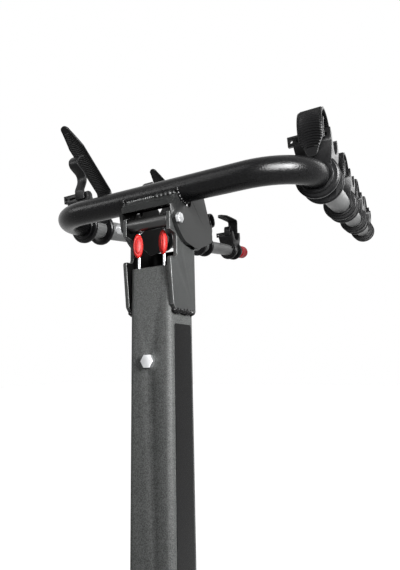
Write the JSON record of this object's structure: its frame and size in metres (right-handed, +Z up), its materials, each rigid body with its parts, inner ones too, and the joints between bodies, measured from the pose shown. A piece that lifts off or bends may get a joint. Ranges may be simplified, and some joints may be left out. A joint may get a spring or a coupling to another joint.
{
  "type": "hitch bike rack",
  "caption": "Hanging bicycle rack for a square hitch receiver, with a tilting mast, folding arms, strap cradles and a squeeze latch.",
  "frame": {"origin": "centre of the hitch pin hole, on the axis of the shank", "axes": "+X to the right seen from the vehicle, +Y away from the vehicle along the shank, +Z up"},
  "size_m": [0.3812, 1.0058, 0.9798],
  "materials": {
    "grey_coat": "dark grey textured powder coat",
    "black_coat": "near-black textured powder coat",
    "bar_coat": "satin black powder coat with a fine grain",
    "zinc": "zinc plated",
    "spring_wire": "bright drawn wire",
    "red_grip": "moulded, soft gloss",
    "red_cap": "moulded, satin",
    "cradle_plastic": "moulded, satin",
    "strap_rubber": "ribbed, flexible",
    "black_plastic": "moulded, satin"
  },
  "bodies": {
    "shank": {"shank_tube": "black_coat", "shank_end_plug": "black_plastic", "foot_plate_left": "black_coat", "foot_plate_right": "black_coat", "foot_pivot_bolt": "zinc", "foot_pivot_nut": "zinc"},
    "mast": {"mast_tube": "grey_coat", "mast_collar": "black_coat", "pivot_sleeve": "black_coat", "pivot_bolt": "zinc", "pivot_nut": "zinc", "latch_bolt": "zinc", "latch_nut": "zinc", "latch_spring": "spring_wire", "foot_crush_sleeve": "zinc", "clamp_crush_sleeve": "zinc", "clamp_bolt": "zinc"},
    "knob": {"clamp_knob": "black_plastic"},
    "arms": {"arm_bracket": "black_coat", "carry_bar": "bar_coat", "end_cap_left": "red_cap", "end_cap_right": "red_cap"},
    "latch_left": {"latch_grip_left": "red_grip"},
    "latch_right": {"latch_grip_right": "red_grip"},
    "cradle_left_1": {"cradle_left_1": "cradle_plastic", "strap_left_1": "strap_rubber", "tongue_left_1": "cradle_plastic"},
    "cradle_left_2": {"cradle_left_2": "cradle_plastic", "strap_left_2": "strap_rubber", "tongue_left_2": "cradle_plastic"},
    "cradle_left_3": {"cradle_left_3": "cradle_plastic", "strap_left_3": "strap_rubber", "tongue_left_3": "cradle_plastic"},
    "cradle_left_4": {"cradle_left_4": "cradle_plastic", "strap_left_4": "strap_rubber", "tongue_left_4": "cradle_plastic"},
    "cradle_right_1": {"cradle_right_1": "cradle_plastic", "strap_right_1": "strap_rubber", "tongue_right_1": "cradle_plastic"},
    "cradle_right_2": {"cradle_right_2": "cradle_plastic", "strap_right_2": "strap_rubber", "tongue_right_2": "cradle_plastic"},
    "cradle_right_3": {"cradle_right_3": "cradle_plastic", "strap_right_3": "strap_rubber", "tongue_right_3": "cradle_plastic"},
    "cradle_right_4": {"cradle_right_4": "cradle_plastic", "strap_right_4": "strap_rubber", "tongue_right_4": "cradle_plastic"}
  },
  "joints": [
    {"name": "mast_tilt", "type": "hinge", "parent": "shank", "child": "mast", "pos_m": [0, 0.235, 0], "axis": [1, 0, 0], "range_deg": [-50, 0]},
    {"name": "clamp_knob_turn", "type": "hinge", "parent": "mast", "child": "knob", "pos_m": [0, 0.235, 0.06], "axis": [1, 0, 0], "range_deg": [0, 360]},
    {"name": "arms_fold", "type": "hinge", "parent": "mast", "child": "arms", "pos_m": [0, 0.2104, 0.72], "axis": [1, 0, 0], "range_deg": [-80, 0]},
    {"name": "latch_left_squeeze", "type": "hinge", "parent": "mast", "child": "latch_left", "pos_m": [0, 0.223, 0.5739], "axis": [0, 1, 0], "range_deg": [0, 2.2], "stiffness_Nm_per_rad": 4, "springref_deg": -5.73, "deforming": ["latch_spring"]},
    {"name": "latch_right_squeeze", "type": "hinge", "parent": "mast", "child": "latch_right", "pos_m": [0, 0.223, 0.5739], "axis": [0, 1, 0], "range_deg": [-2.2, 0], "stiffness_Nm_per_rad": 4, "springref_deg": 5.73},
    {"name": "cradle_left_1_swivel", "type": "hinge", "parent": "arms", "child": "cradle_left_1", "pos_m": [-0.1656, 0.30635, 0.77017], "axis": [0, 0.9869, 0.1616], "range_deg": [-30, 30]},
    {"name": "cradle_left_2_swivel", "type": "hinge", "parent": "arms", "child": "cradle_left_2", "pos_m": [-0.1656, 0.48497, 0.79942], "axis": [0, 0.9869, 0.1616], "range_deg": [-30, 30]},
    {"name": "cradle_left_3_swivel", "type": "hinge", "parent": "arms", "child": "cradle_left_3", "pos_m": [-0.1656, 0.6636, 0.82867], "axis": [0, 0.9869, 0.1616], "range_deg": [-30, 30]},
    {"name": "cradle_left_4_swivel", "type": "hinge", "parent": "arms", "child": "cradle_left_4", "pos_m": [-0.1656, 0.84222, 0.85792], "axis": [0, 0.9869, 0.1616], "range_deg": [-30, 30]},
    {"name": "cradle_right_1_swivel", "type": "hinge", "parent": "arms", "child": "cradle_right_1", "pos_m": [0.1656, 0.30635, 0.77017], "axis": [0, 0.9869, 0.1616], "range_deg": [-30, 30]},
    {"name": "cradle_right_2_swivel", "type": "hinge", "parent": "arms", "child": "cradle_right_2", "pos_m": [0.1656, 0.48497, 0.79942], "axis": [0, 0.9869, 0.1616], "range_deg": [-30, 30]},
    {"name": "cradle_right_3_swivel", "type": "hinge", "parent": "arms", "child": "cradle_right_3", "pos_m": [0.1656, 0.6636, 0.82867], "axis": [0, 0.9869, 0.1616], "range_deg": [-30, 30]},
    {"name": "cradle_right_4_swivel", "type": "hinge", "parent": "arms", "child": "cradle_right_4", "pos_m": [0.1656, 0.84222, 0.85792], "axis": [0, 0.9869, 0.1616], "range_deg": [-30, 30]}
  ],
  "couplings": [
    {"joint": "latch_right_squeeze", "follows": "latch_left_squeeze", "ratio": -1}
  ]
}
